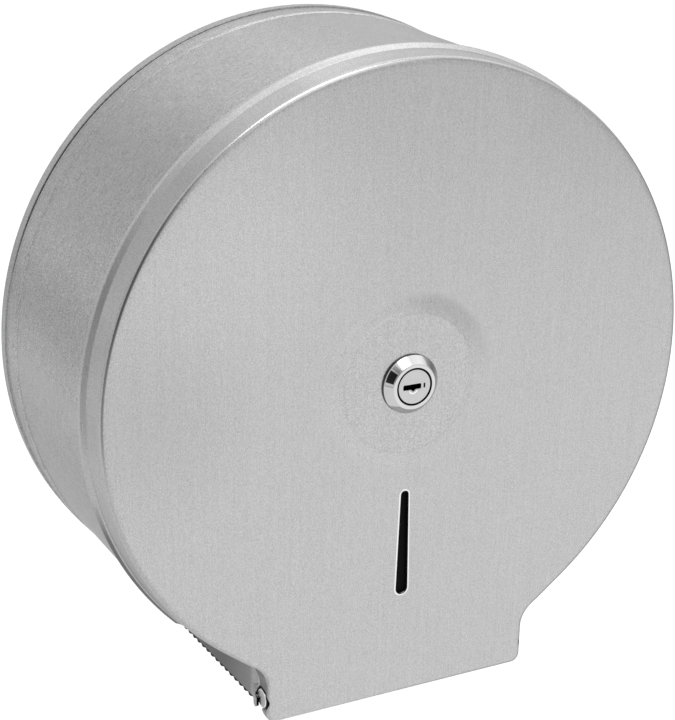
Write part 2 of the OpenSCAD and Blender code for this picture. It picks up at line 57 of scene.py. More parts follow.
class Wire:
    # One output socket. Sums, products and powers of wires and numbers add Math nodes.
    def __init__(self, finish, socket):
        self.finish, self.socket = finish, socket

    def math(self, operation, *others, clamp=False, swapped=False):
        values = [self, *others]
        if swapped:
            values.reverse()
        settings = {"operation": operation, "use_clamp": clamp}
        return self.finish.node("ShaderNodeMath", settings, dict(enumerate(values)))

    __add__ = __radd__ = mathOperator("ADD")
    __mul__ = __rmul__ = mathOperator("MULTIPLY")
    __sub__ = mathOperator("SUBTRACT")
    __rsub__ = mathOperator("SUBTRACT", swapped=True)
    __truediv__ = mathOperator("DIVIDE")
    __rtruediv__ = mathOperator("DIVIDE", swapped=True)
    __pow__ = mathOperator("POWER")

    def __neg__(self):
        return self * -1.0

    def size(self):     # without its sign
        return self.math("ABSOLUTE")

    def held(self):     # kept between 0 and 1
        return self.math("ADD", 0.0, clamp=True)

    def larger(self, other):
        return self.math("MAXIMUM", other)

    def step(self, low, high):      # 0 below low, 1 above high, smooth between
        return self.finish.node("ShaderNodeMapRange", {"interpolation_type": "SMOOTHSTEP"},
                                {"Value": self, "From Min": low, "From Max": high})

    def band(self, rise, fall):     # 1 between two soft ends
        return self.step(*rise) * (1 - self.step(*fall))

    def near(self, value, inside, outside):     # 1 close to a value, 0 further off than outside
        return 1 - (self - value).size().step(inside, outside)


class Finish:
    # A material with its Principled shader, or the world when given one
    def __init__(self, name, world=None):
        self.owner = world or bpy.data.materials.new(name)
        self.owner.use_nodes = True
        self.tree = self.owner.node_tree
        self.tree.nodes.clear()
        self.out = self.tree.nodes.new("ShaderNodeOutputWorld" if world else "ShaderNodeOutputMaterial")

    def put(self, socket, value):
        if isinstance(value, Wire):
            self.tree.links.new(value.socket, socket)
        else:
            socket.default_value = value

    def node(self, kind, settings=None, inputs=None, out=0):    # settings first, then values or links
        node = self.tree.nodes.new(kind)
        for key, value in (settings or {}).items():
            if key == "stops":
                self.setStops(node.color_ramp, value)
            else:
                setattr(node, key, value)
        for key, value in (inputs or {}).items():
            self.put(node.inputs[key], value)
        return Wire(self, node.outputs[out])

    def setStops(self, ramp, stops):        # a ramp starts with two elements, so the ones between are added
        ramp.elements[0].position, ramp.elements[-1].position = stops[0][0], stops[-1][0]
        for place, grey in stops[1:-1]:
            ramp.elements.new(place)
        for element, (place, grey) in zip(ramp.elements, stops):
            element.color = (grey, grey, grey, 1.0)

    def place(self, scale=(1, 1, 1)):       # object coordinates in metres, stretched by scale
        at = self.node("ShaderNodeTexCoord", out="Object")
        return self.node("ShaderNodeMapping", {}, {"Vector": at, "Scale": scale})

    def axis(self, vector, which):
        return self.node("ShaderNodeSeparateXYZ", {}, {0: vector}, out=which)

    def axesInMm(self):         # x, y and z on the piece
        at = self.place()
        return [self.axis(at, which) * 1000.0 for which in range(3)]

    def joined(self, x, y, z):
        return self.node("ShaderNodeCombineXYZ", {}, {0: x, 1: y, 2: z})

    def noise(self, vector, scale, detail=2.0, rough=0.5):
        return self.node("ShaderNodeTexNoise", {},
                         {"Vector": vector, "Scale": scale, "Detail": detail, "Roughness": rough})

    def tint(self, factor, low, high):      # a colour between two greys or colours
        return self.node("ShaderNodeMix", {"data_type": "RGBA"},
                         {"Factor": factor, 6: colourOf(low), 7: colourOf(high)}, out=2)

    def scaled(self, base, factor):
        return self.node("ShaderNodeVectorMath", {"operation": "SCALE"}, {0: base, "Scale": factor})

    def shaded(self, base, mask, factor):       # times the factor where the mask is 1
        return self.scaled(base, 1 + mask * (factor - 1))

    def bump(self, height, strength, distance):
        return self.node("ShaderNodeBump", {}, {"Height": height, "Strength": strength, "Distance": distance})

    def shader(self, **inputs):
        sockets = {name.replace("_", " "): value for name, value in inputs.items()}
        principled = self.node("ShaderNodeBsdfPrincipled", {}, sockets)
        self.tree.links.new(principled.socket, self.out.inputs[0])
        return self.owner


def colourOf(value):        # a number is a grey, three numbers are a colour
    if isinstance(value, Wire):
        return value
    if isinstance(value, (int, float)):
        return (value, value, value, 1.0)
    return tuple(value) + (1.0,)


def away(f, first, second, centre=(0.0, 0.0)):
    # Distance in mm from a line along one axis; first and second number the two other axes
    place = f.axesInMm()
    a, b = place[first] - centre[0], place[second] - centre[1]
    return (a * a + b * b) ** 0.5


def turned(f, stops):
    # A factor that changes with the angle round the drum's axis, in degrees from the top to the left.
    # The ramp holds half of each factor, so that factors up to 2 fit into it.
    at = f.place()
    turn = (-f.axis(at, 0)).math("ARCTAN2", f.axis(at, 2))
    table = [(0.5 + degrees / 360.0, factor / 2.0) for degrees, factor in stops]
    return f.node("ShaderNodeValToRGB", {"stops": table}, {"Fac": turn / (2 * math.pi) + 0.5}) * 2.0


# Metals and plastics. A finish's grey is its middle tone, and paint(f, base) adds painted light, shade and
# marks to its colour.

metal = {"edgeTint": 0.7, "darkest": 0.5, "lightest": 1.5, "speckScale": 2800.0, "cloudScale": 24.0,
         "grainBump": 0.15, "grainDeep": 0.00003, "grainRoughness": 0.12,
         "castScale": 220.0, "castDark": 0.92, "castLight": 1.06, "castRoughness": 0.08, "castDeep": 0.00005}

sheetGrain = {"marks": 0.55, "longMarks": 0.25, "specks": 2.6, "clouds": 0.03, "longer": (0.5, 0.5, 0.08),
              "cloudRoughness": 0.04}

plastic = {"grainScale": 900.0, "shift": 0.1, "roughness": 0.1, "grainBump": 0.25, "grainDeep": 0.0001}

drumGrain = {"around": 22.0, "across": 2100.0, "specks": 2.4, "clouds": 0.10, "roughness": 0.30}


def metalShader(f, base, paint, roughness, height, bumpStrength, bumpDeep):     # paint goes on the base first
    if paint:
        base = paint(f, base)
    edgeTint = (metal["edgeTint"], metal["edgeTint"], metal["edgeTint"], 1.0)
    return f.shader(Base_Color=base, Metallic=1.0, Specular_Tint=edgeTint, Roughness=roughness,
                    Normal=f.bump(height, bumpStrength, bumpDeep))


def grainShader(f, grey, tone, paint, roughness, marks):
    # Brushed sheet: the tone runs from the darkest to the lightest share of the grey
    base = f.tint(tone.held(), grey * metal["darkest"], grey * metal["lightest"])
    rough = roughness + (marks - 0.5) * metal["grainRoughness"]
    return metalShader(f, base, paint, rough, marks, metal["grainBump"], metal["grainDeep"])


def brushedSteel(name, grey, spread, marksPerMetre, roughness=0.28, paint=None):
    # Sheet steel: short brush marks, longer faint ones, specks and clouds added up about the middle tone
    s = sheetGrain
    f = Finish(name)
    longScale = tuple(count * share for count, share in zip(marksPerMetre, s["longer"]))
    marks = f.noise(f.place(marksPerMetre), 1.0, detail=3.0, rough=0.6)
    longMarks = f.noise(f.place(longScale), 1.0)
    clouds = f.noise(f.place(), metal["cloudScale"])
    specks = f.noise(f.place(), metal["speckScale"], detail=1.0)
    fine = (marks - 0.5) * s["marks"] + (longMarks - 0.5) * s["longMarks"] + (specks - 0.5) * s["specks"]
    tone = fine * spread + (clouds - 0.5) * s["clouds"] + 0.5
    return grainShader(f, grey, tone, paint, roughness + (clouds - 0.5) * s["cloudRoughness"], marks)


def drumSteel(name, grey, spread, paint):
    # Grain that runs round the drum: the noise is stretched along the angle and fine along Y
    s = drumGrain
    f = Finish(name)
    at = f.place()
    x, y, z = (f.axis(at, which) for which in range(3))
    around = z.math("ARCTAN2", x) * s["around"]
    marks = f.noise(f.joined(around, y * s["across"], 0.0), 1.0, detail=3.0, rough=0.6)
    specks = f.noise(at, metal["speckScale"], detail=1.0)
    clouds = f.noise(at, metal["cloudScale"])
    tone = ((marks - 0.5) + (specks - 0.5) * s["specks"]) * spread + (clouds - 0.5) * s["clouds"] + 0.5
    return grainShader(f, grey, tone, paint, s["roughness"], marks)


def plainMetal(name, grey, roughness, bumpStrength=0.1, paint=None):
    # Cast or turned metal with a faint cloud: its grey runs from the dark to the light share
    f = Finish(name)
    clouds = f.noise(f.place(), metal["castScale"], detail=3.0)
    base = f.tint(clouds, grey * metal["castDark"], grey * metal["castLight"])
    rough = roughness + (clouds - 0.5) * metal["castRoughness"]
    return metalShader(f, base, paint, rough, clouds, bumpStrength, metal["castDeep"])


def plainPlastic(name, colour, roughness, specular=0.5):
    # Moulded plastic with a fine grain that shifts its colour either way
    s = plastic
    f = Finish(name)
    grain = f.noise(f.place(), s["grainScale"])
    low = tuple(part * (1 - s["shift"]) for part in colour)
    high = tuple(part * (1 + s["shift"]) for part in colour)
    rough = roughness + (grain - 0.5) * s["roughness"]
    return f.shader(Base_Color=f.tint(grain, low, high), Roughness=rough, Specular_IOR_Level=specular,
                    Normal=f.bump(grain, s["grainBump"], s["grainDeep"]))


# Surface helpers. Points are tables in mm, faces are tables of four vertex numbers.

def smooth(t):      # 0 to 1 with level ends
    t = np.clip(t, 0.0, 1.0)
    return t * t * (3 - 2 * t)


def halfChord(radius, offset):      # half the width of a circle at an offset from its middle, 0 outside it
    return np.sqrt(np.clip(radius ** 2 - offset ** 2, 0, None))


def between(places, stations):      # straight lines between stations of (place, value)
    known, values = zip(*stations)
    return np.interp(places, known, values)


def grid(first, second, third):     # three tables of coordinates, broadcast and joined into points
    return np.stack(np.broadcast_arrays(first, second, third), -1)


def gridIndex(rows, columns, closed=False):     # vertex numbers, with the first column again when closed
    index = np.arange(rows * columns).reshape(rows, columns)
    return np.concatenate([index, index[:, :1]], 1) if closed else index


def quads(index):       # one face for each cell of a table of vertex numbers
    a, b, c, d = index[:-1, :-1], index[:-1, 1:], index[1:, 1:], index[1:, :-1]
    return np.stack([a, b, c, d], -1).reshape(-1, 4)


def piece(name, points, faces, finishes, body, replaced, creaseAngle=40.0):
    # Makes an object of points in mm and quads; a quad with a doubled corner becomes a triangle
    used, inverse = np.unique(faces, return_inverse=True)
    faces = inverse.reshape(faces.shape)
    doubled = faces == np.roll(faces, -1, axis=1)
    pinched = doubled.any(1)
    corners = faces[~pinched].tolist() + faces[pinched][~doubled[pinched]].reshape(-1, 3).tolist()
    mesh = bpy.data.meshes.new(name)
    mesh.from_pydata((points[used] * mm).tolist(), [], corners)
    for finish in finishes:
        mesh.materials.append(finish)
    obj = bpy.data.objects.new(name, mesh)
    scene.collection.objects.link(obj)
    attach(obj, body)
    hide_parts(replaced)
    mesh.shade_smooth()
    mesh.set_sharp_from_angle(angle=math.radians(creaseAngle))
    return obj


def thicken(obj, thickness, rimFinish=0):       # gives a skin its sheet thickness, inwards
    m = obj.modifiers.new("thickness", "SOLIDIFY")
    m.thickness, m.offset = thickness * mm, -1.0
    m.use_even_offset, m.material_offset_rim = True, rimFinish


def roundEdges(obj, width, finish=-1):      # small arcs along all edges sharper than 50 degrees
    m = obj.modifiers.new("edges", "BEVEL")
    m.width, m.segments, m.material = width * mm, 2, finish
    m.limit_method, m.angle_limit = "ANGLE", math.radians(50.0)
    m.harden_normals = True


def fillet(corners, radii, steps=6):
    # A line through corners with each inner corner replaced by an arc of its radius:
    # from one tangent point to the other, turning evenly about the arc's centre
    corners = np.asarray(corners, float)
    line = [corners[:1]]
    for before, corner, after, radius in zip(corners, corners[1:], corners[2:], radii):
        a = (before - corner) / np.linalg.norm(before - corner)
        b = (after - corner) / np.linalg.norm(after - corner)
        half = math.acos(np.clip(a @ b, -1, 1)) / 2
        reach = radius / math.tan(half)
        centre = corner + (a + b) / np.linalg.norm(a + b) * radius / math.sin(half)
        start, end = corner + a * reach - centre, corner + b * reach - centre
        t = np.linspace(0, 1, steps)[:, None]
        span = math.pi - 2 * half
        line.append(centre + (np.sin((1 - t) * span) * start + np.sin(t * span) * end) / math.sin(span))
    line.append(corners[-1:])
    return np.concatenate(line)


def revolved(rings, shape=None):
    # rings: distance along the axis and radius. A radius of 0 closes a pole.
    # shape: the angles of a ring's points, when they are not even.
    rings = np.asarray(rings, float)
    angle = np.linspace(0, 2 * math.pi, 72, endpoint=False) if shape is None else shape
    along, radius = rings[:, :1], rings[:, 1:]
    index = gridIndex(len(rings), len(angle), closed=True)
    for row in (0, -1):
        if rings[row, 1] < 1e-6:
            index[row] = index[row, 0]
    return grid(along, radius * np.cos(angle), radius * np.sin(angle)).reshape(-1, 3), index


# The lid: a pressed pan with a skirt, hinged at its lower front. Depth counts backwards from its front.

hinge = {"depth": 4.8, "drop": 133.0}

lid = {"front": 110.0, "faceOut": 1.0, "faceRun": 4.0, "radius": 133.5, "foot": 142.3, "halfWidth": 61.9,
       "neck": 11.5, "corner": 4.0, "sheet": 0.8, "edgeBevel": 0.18,
       "softRoll": 2.4, "softTurn": 14.0, "edge": 1.3, "skirtEdge": 1.0, "draft": 5.5,
       "drumLevel": -62.0, "drumBlend": 9.0,
       "flange": 11.6, "flare": 3.0, "flareOut": 1.5, "lip": 1.3, "lipEnd": 45.0, "lipBlend": 1.2,
       "hem": 6.0, "hemBlend": 3.0, "footRear": 1.9,
       "bossRadius": 39.0, "bossTop": 29.0, "bossRise": 0.65, "hole": 9.02,
       "slotTop": -49.5, "slotLow": -92.5, "slotTopRadius": 1.88, "slotLowRadius": 2.85,
       "slotBurr": 0.12, "burrWide": 0.5, "slotPull": 16.0,
       "lobe": 4.3, "cup": 5.0, "cupDeep": 0.8, "cupWall": 0.8,
       "earCut": [(119.0, 11.5), (121.4, 11.0), (122.7, 9.2), (124.5, 7.6), (126.8, 6.7), (129.9, 6.35),
                  (136.5, 6.4), (138.5, 4.4), (141.0, 2.0), (142.0, 1.9)]}

hingeAt = (hinge["depth"] - lid["front"], -hinge["drop"])       # y and z of the hinge's line

# Light and dark of the room on the pressed steel: stops are (degrees from the top to the left, factor)
lidShade = {
    "zones": [
        {"rise": (-0.88, -0.76), "fall": (-0.60, -0.45),        # the rolled edge
         "stops": [(-60, 0.9), (-5, 0.75), (5, 1.25), (15, 1.9), (28, 1.5), (38, 1.1), (45, 1.0), (54, 0.45),
                   (62, 0.28), (70, 0.25), (80, 0.42), (90, 0.55), (98, 0.95), (110, 1.0)]},
        {"rise": (-0.2, 0.3), "fall": (10.9, 11.3),             # the straight flange
         "stops": [(-5, 1.0), (15, 0.92), (30, 0.97), (38, 0.83), (45, 0.74), (60, 0.85), (70, 0.93),
                   (80, 0.95), (90, 0.86), (99, 1.0), (110, 0.97), (122, 0.8), (134, 0.62), (150, 0.6)]},
        {"rise": (10.9, 11.3), "fall": (13.8, 14.3),            # the flare
         "stops": [(-5, 1.0), (15, 1.15), (30, 1.2), (38, 1.0), (46, 0.83), (53, 0.8), (60, 0.68), (70, 0.6),
                   (80, 0.7), (90, 0.72), (97, 0.95), (101, 1.0)]},
        {"rise": (12.2, 12.8), "fall": (30.0, 31.0),            # the lip behind it, low on the left
         "stops": [(104, 1.0), (112, 0.35), (134, 0.3)]}],
    "boss": [(-95, 1.0), (-75, 0.97), (-50, 0.90), (-30, 0.91), (-15, 0.95), (0, 1.04), (15, 1.1), (45, 1.1),
             (60, 1.06), (75, 1.0), (100, 1.02), (165, 1.02)],
    "bossRise": (28.5, 30.5), "bossFall": (36.5, 39.5), "bossFront": (-3.0, -2.9), "bossRear": (-0.8, -0.7),
    "bossLine": 29.8, "bossLineWide": (0.2, 0.9), "bossLineFactor": 0.94,
    "patches": [(-70, 75, 75, 1.09), (-115, 0, 60, 0.91), (85, 112, 60, 0.95)],  # right, high, reach, factor
    "patchFront": (-0.95, -0.85),
    "slotHighlight": 0.97, "slotHighlightWide": (0.5, 0.7), "belowBoss": (40.0, 42.0),
    "ear": 0.6, "earOut": (61.1, 61.8), "earDown": (119.0, 126.0), "earUp": (-137.5, -134.5),
    "ring": (5.55, 5.7), "ringOut": (60.8, 61.0), "ringUp": (-137.6, -136.9), "ringBlack": 0.012,
    "edgeOut": (60.3, 60.6), "edgeDown": (136.5, 137.2), "edgeBlack": 0.02}


def faceLight(f, base):
    # Painted light and shade: each zone of the pan's depth, the boss's slope, a darker line round the boss's
    # flat and three wide patches of the face get their own factor
    s = lidShade
    depth = f.axesInMm()[1] + lid["front"]
    for zone in s["zones"]:
        base = f.shaded(base, depth.band(zone["rise"], zone["fall"]), turned(f, zone["stops"]))
    fromLock = away(f, 0, 2)
    slope = fromLock.band(s["bossRise"], s["bossFall"]) * depth.band(s["bossFront"], s["bossRear"])
    base = f.shaded(base, slope, turned(f, s["boss"]))
    base = f.shaded(base, fromLock.near(s["bossLine"], *s["bossLineWide"]), s["bossLineFactor"])
    for right, high, reach, factor in s["patches"]:
        patch = (1 - away(f, 0, 2, (right, high)).step(0.0, reach)) * (1 - depth.step(*s["patchFront"]))
        base = f.shaded(base, patch, factor)
    return base


def slotHighlight(f):
    # 1 on the painted highlight along the burr round the view slot: near the slot's middle line, less the
    # half width there
    x, _, z = f.axesInMm()
    tall = lid["slotTop"] - lid["slotLow"]
    along = ((lid["slotTop"] - z) / tall).held()
    high = z + along * tall - lid["slotTop"]
    halfWide = along * (lid["slotLowRadius"] - lid["slotTopRadius"]) + lid["slotTopRadius"]
    fromEdge = (x * x + high * high) ** 0.5 - halfWide
    return (1 - fromEdge.step(*lidShade["slotHighlightWide"])) * (-z).step(*lidShade["belowBoss"])


def lidPaint(f, base):
    # Painted light on the pan, a painted highlight on the slot's burr, painted shade on the ear and a dark
    # painted shadow round the hinge rivet's head
    s = lidShade
    x, _, z = f.axesInMm()
    base = f.tint(slotHighlight(f), faceLight(f, base), s["slotHighlight"])
    # painted shade on the ear
    ear = x.size().step(*s["earOut"]) * (-z).step(*s["earDown"]) * z.step(*s["earUp"])
    # a dark painted shadow round the rivet head, on the ear's side
    ring = 1 - away(f, 1, 2, hingeAt).step(*s["ring"])
    side = x.size().step(*s["ringOut"]) * z.step(*s["ringUp"])
    return f.tint(ring * side, f.shaded(base, ear, s["ear"]), s["ringBlack"])


def rimPaint(f, base):      # the ear's cut edge below the rivet lies in the dark
    s = lidShade
    x, _, z = f.axesInMm()
    return f.tint(x.size().step(*s["edgeOut"]) * (-z).step(*s["edgeDown"]), base, s["edgeBlack"])


def lidOutline():
    # Right half of the outline seen from the front, from the middle of the foot up to the top:
    # foot, corner arc, side, neck arc, drum circle. Gives points and outward normals.
    s = lid
    neckX = s["halfWidth"] + s["neck"]
    neckZ = math.sqrt((s["radius"] + s["neck"]) ** 2 - neckX ** 2)
    cornerX, cornerZ = s["halfWidth"] - s["corner"], -s["foot"] + s["corner"]
    earMiddle = -127.5      # points lie closer together below it

    footX = np.concatenate([[0, 0.7, 1.8, 3.4, 6.0], np.linspace(10, cornerX, 12)[:-1]])
    sideZ = np.concatenate([np.linspace(cornerZ, earMiddle, 29)[:-1],
                            np.linspace(earMiddle, -neckZ, 14)[:-1]])
    corner = np.linspace(-math.pi / 2, 0, 9)[:-1]
    neck = np.linspace(math.pi, math.atan2(neckZ, -neckX), 15)[:-1]
    low, lipEnd, near = math.atan2(-neckZ, neckX), -math.radians(s["lipEnd"]), math.radians(2.0)
    circle = np.concatenate([np.linspace(low, lipEnd - near, 8)[:-1],
                             np.linspace(lipEnd - near, lipEnd + near, 17)[:-1],
                             np.linspace(lipEnd + near, math.pi / 2, 84)])

    def arc(angle):
        return np.stack([np.cos(angle), np.sin(angle)], 1)

    points = [np.stack([footX, 0 * footX - s["foot"]], 1), (cornerX, cornerZ) + s["corner"] * arc(corner),
              np.stack([0 * sideZ + s["halfWidth"], sideZ], 1), (neckX, -neckZ) + s["neck"] * arc(neck),
              s["radius"] * arc(circle)]
    normals = [np.tile([0.0, -1.0], (len(footX), 1)), arc(corner), np.tile([1.0, 0.0], (len(sideZ), 1)),
               -arc(neck), arc(circle)]
    return np.concatenate(points), np.concatenate(normals)


def rolledEdge(radius, draft):
    # The edge from the flat face to the flange, as inset from the flange's end radius and depth:
    # the surface first turns softly, then tightly until it stands at the draft angle
    s = lid
    softRows, tightRows = 5, 8
    soft, last = math.radians(s["softTurn"]), math.radians(90 - draft)
    turn = np.concatenate([np.linspace(0, soft, softRows + 1), np.linspace(soft, last, tightRows + 1)[1:]])
    step = np.repeat([s["softRoll"] / softRows, radius * (last - soft) / tightRows], [softRows, tightRows])
    middle = (turn[1:] + turn[:-1]) / 2
    along = np.concatenate([[0], np.cumsum(step * np.cos(middle))])
    depth = np.concatenate([[0], np.cumsum(step * np.sin(middle))])
    return along - along[-1] - (s["flange"] - depth[-1]) * math.tan(math.radians(draft)), depth


def bossRows(ray):
    # Rings round the lock's hole: the raised flat, then a smooth slope down to the face
    s = lid
    radii = np.concatenate([np.linspace(s["hole"], s["bossTop"] - 1, 5),
                            np.linspace(s["bossTop"], s["bossRadius"], 12)])[:, None]
    rise = s["bossRise"] * (1 - smooth((radii - s["bossTop"]) / (s["bossRadius"] - s["bossTop"])))
    return grid(radii * ray[:, 0], radii * ray[:, 1], -rise)


def faceRows(ray, outer, side):
    # Straight lines from the boss to the rolled edge, with rows on the slot's arcs and side. Points near the
    # middle move sideways by the slot's half width at their height, and a small burr stands round it.
    s = lid
    foot = -outer[0, 1]
    slotHigh, slotFoot = s["slotTop"] + s["slotTopRadius"], s["slotLow"] - s["slotLowRadius"]
    cap = np.linspace(0, math.pi / 2, 7)
    heights = np.concatenate([np.linspace(-s["bossRadius"] - 3, slotHigh + 1, 3),
                              s["slotTop"] + s["slotTopRadius"] * np.cos(cap),
                              np.linspace(s["slotTop"], s["slotLow"], 13)[1:-1],
                              s["slotLow"] - s["slotLowRadius"] * np.sin(cap),
                              np.linspace(slotFoot - 1, -foot, 11)])
    share = (-heights - s["bossRadius"]) / (foot - s["bossRadius"])
    inner = ray * s["bossRadius"]
    flat = inner[None] + (outer - inner)[None] * share[:, None, None]
    across, high = flat[..., 0], flat[..., 1]
    above, below = s["slotTop"] - high, high - s["slotLow"]
    widening = (s["slotLowRadius"] - s["slotTopRadius"]) / (s["slotTop"] - s["slotLow"])
    half = np.where(below < 0, halfChord(s["slotLowRadius"], below), s["slotTopRadius"] + widening * above)
    half = np.where(above < 0, halfChord(s["slotTopRadius"], above), half)
    across = across + side * half * np.exp(-(across / s["slotPull"]) ** 2) * (high < 0)
    inSlot = (high < slotHigh) & (high > slotFoot)
    burr = -s["slotBurr"] * np.exp(-((np.abs(across) - half) / s["burrWide"]) ** 2) * inSlot
    return grid(across, high, burr), half[:, 0] > 1e-6


def flangeRear(outline, lipShare):
    # Depth of the pan's rear edge: full round the drum, without flare and lip below the lip's end,
    # cut back behind the ear with a lobe round the hinge, and a hem along the foot
    s = lid
    width, height = np.abs(outline[:, 0]), outline[:, 1]
    ear = between(-height, s["earCut"])
    fromHinge = height + hinge["drop"]
    lobe = hinge["depth"] + halfChord(s["lobe"], fromHinge)
    rear = np.where(np.abs(fromHinge) < s["lobe"] * 0.94, np.maximum(ear, lobe), ear)
    onHem = smooth((s["halfWidth"] - s["corner"] - width) / s["hemBlend"])
    rear = np.where(height < -s["foot"] + 0.01, s["footRear"] + (s["hem"] - s["footRear"]) * onHem, rear)
    plain = s["flange"] - 0.1
    return np.where(height > -s["earCut"][0][0], plain + (s["flare"] + s["lip"] + 0.1) * lipShare, rear)


def flangeRows(outline, normal, edgeIn, edgeDeep, lipShare):
    # Rows from the rolled edge to the rear edge, closer at the flare's two bends. The draft runs out
    # at the flange's end, the flare leans outwards, and a round cup is pressed in at the hinge.
    s = lid
    start, full = 1.0, s["flange"] + s["flare"] + s["lip"]
    atBends = np.array([-0.12, 0.12, 1.5, 2.88, 3.12, 3.8, s["flare"] + s["lip"]])
    rows = np.concatenate([np.linspace(start, s["flange"] - 0.4, 11), s["flange"] + atBends])
    share = (rows - start) / (full - start)
    share[0] = 0.04
    depth = edgeDeep[None] + share[:, None] * (flangeRear(outline, lipShare) - edgeDeep)[None]
    flareOut = s["flareOut"] * np.clip((depth - s["flange"]) / s["flare"], 0, 1) * lipShare[None]
    draftIn = edgeIn[None] * np.clip((s["flange"] - depth) / (s["flange"] - edgeDeep), 0, 1)
    fromHinge = np.hypot(depth - hinge["depth"], outline[None, :, 1] + hinge["drop"])
    cup = 1 - smooth((fromHinge - s["cup"]) / s["cupWall"] + 0.5)
    cup = s["cupDeep"] * cup * (np.abs(outline[:, 0]) > s["halfWidth"] - 0.2)
    out = flareOut + draftIn - cup
    return grid(outline[:, 0] + normal[:, 0] * out, outline[:, 1] + normal[:, 1] * out, depth)


def lidSurface():
    # Rows run from the lock's hole over the face and the rolled edge to the flange's rear edge, columns round
    # the outline from the foot's middle. The slot is the table's seam: its rows stay open, all others close.
    s = lid
    mirrored = np.array([-1.0, 1.0])
    right, rightNormal = lidOutline()
    outline = np.concatenate([right, (right * mirrored)[-2::-1]])
    normal = np.concatenate([rightNormal, (rightNormal * mirrored)[-2::-1]])
    side = np.where(np.arange(len(outline)) < len(right), 1.0, -1.0)
    angle = np.arctan2(outline[:, 1], outline[:, 0])
    ray = np.stack([np.cos(angle), np.sin(angle)], 1)
    ray[0], ray[-1] = (0, -1), (0, -1)

    level = np.degrees(np.arctan2(outline[:, 1], np.abs(outline[:, 0])))
    onDrum = smooth((level - s["drumLevel"]) / s["drumBlend"])
    lipShare = smooth((level + s["lipEnd"] + 0.7) / s["lipBlend"])
    drumIn, drumDeep = rolledEdge(s["edge"], s["draft"])
    skirtIn, skirtDeep = rolledEdge(s["skirtEdge"], 0.0)
    edgeIn = skirtIn[:, None] + (drumIn - skirtIn)[:, None] * onDrum[None]
    edgeDeep = skirtDeep[:, None] + (drumDeep - skirtDeep)[:, None] * onDrum[None]

    boss = bossRows(ray)
    face, slotOpen = faceRows(ray, outline + normal * edgeIn[0][:, None], side)
    rolled = grid(outline[:, 0] + normal[:, 0] * edgeIn[1:], outline[:, 1] + normal[:, 1] * edgeIn[1:],
                  edgeDeep[1:])
    flange = flangeRows(outline, normal, edgeIn[-1], edgeDeep[-1], lipShare)
    table = np.concatenate([boss, face, rolled, flange])
    index = gridIndex(*table.shape[:2])
    seam = np.zeros(len(table), bool)
    seam[len(boss):len(boss) + len(face)] = slotOpen
    index[~seam, -1] = index[~seam, 0]
    depth = table[..., 2]
    ahead = s["faceOut"] * (1 - smooth((depth - 1.0) / s["faceRun"]))
    points = grid(table[..., 0], depth - s["front"] - ahead, table[..., 1])
    return points.reshape(-1, 3), quads(index)[:, ::-1]


brushLines = (2000.0, 400.0, 160.0)     # marks per metre across, deep and up: the grain runs upright
lidSteel = brushedSteel("lidSteel", grey=0.56, spread=0.4, marksPerMetre=brushLines, paint=lidPaint)
# The light grey on the sheets' cut and rounded edges is a painted highlight; rimPaint adds painted shade to
# part of it
cutEdgeHighlight = plainMetal("cutEdgeHighlight", grey=0.90, roughness=0.25, paint=rimPaint)

points, faces = lidSurface()
lidShell = piece("lidShell", points, faces, [lidSteel, cutEdgeHighlight], "lid", "front_lid")
thicken(lidShell, lid["sheet"], rimFinish=1)
roundEdges(lidShell, lid["edgeBevel"], finish=1)
print("stage 2: lid made,", len(faces), "faces")


# The drum wall, a plain band that is a little wider at the rear. Height is counted from the wall outwards.

drum = {"radius": 133.6, "frontHeight": 95.6, "halfGap": 63.35, "sheet": 0.8, "edgeBevel": 0.18,
        "bandHeight": 17.3, "bandOut": 0.6, "bandSlope": 1.2, "bandRound": 0.8,
        "rearHeight": 7.0, "rearClose": 0.33, "closeFrom": 66.0, "closeRun": 14.0,
        "light": [(5, 1.0), (15, 1.07), (30, 1.03), (40, 0.86), (47, 0.83), (60, 0.95), (70, 1.06),
                  (80, 0.97), (90, 1.08), (102, 1.0)],
        "brightRear": (-8.0, -7.8), "brightGrey": 0.97}


def wallPaint(f, base):     # the room's soft light and dark painted round the wall, and a painted highlight on its rear edge
    lit = f.scaled(base, turned(f, drum["light"]))
    return f.tint(f.axesInMm()[1].step(*drum["brightRear"]), lit, drum["brightGrey"])


def drumSurface():
    # A profile of height and radius with the band's step rounded, carried round the axis
    # between the two upright cuts at the outlet. Its rear edge nears the wall at the lower sides.
    s = drum
    bandRadius = s["radius"] + s["bandOut"]
    profile = fillet([(s["rearHeight"], bandRadius), (s["bandHeight"], bandRadius),
                      (s["bandHeight"] + s["bandSlope"], s["radius"]), (s["frontHeight"], s["radius"])],
                     [s["bandRound"], s["bandRound"]], 7)
    plain = np.linspace(profile[-2, 0], s["frontHeight"], 14)[1:]
    profile = np.concatenate([profile[:-1], np.stack([plain, 0 * plain + s["radius"]], 1)])
    height, radius = profile[:, :1], profile[:, 1:]
    start = np.arcsin(s["halfGap"] / radius)
    angle = start - math.pi / 2 + np.linspace(0, 1, 361) * (2 * math.pi - 2 * start)
    fromTop = np.abs(np.degrees(angle) - 90)
    atRear = height < s["rearHeight"] + 0.01
    nearer = s["rearClose"] * smooth((fromTop - s["closeFrom"]) / s["closeRun"]) * atRear
    points = grid(radius * np.cos(angle), nearer - height, radius * np.sin(angle))
    return points.reshape(-1, 3), quads(gridIndex(*points.shape[:2]))


wallSteel = drumSteel("wallSteel", grey=0.50, spread=1.1, paint=wallPaint)
points, faces = drumSurface()
drumShell = piece("drumShell", points, faces, [wallSteel, cutEdgeHighlight], "chassis", "drum_wall")
thicken(drumShell, drum["sheet"], rimFinish=1)
roundEdges(drumShell, drum["edgeBevel"], finish=1)
print("stage 3: drum wall made")


# The tear arms at the two sides of the outlet. Depth and drop are counted as on the lid.

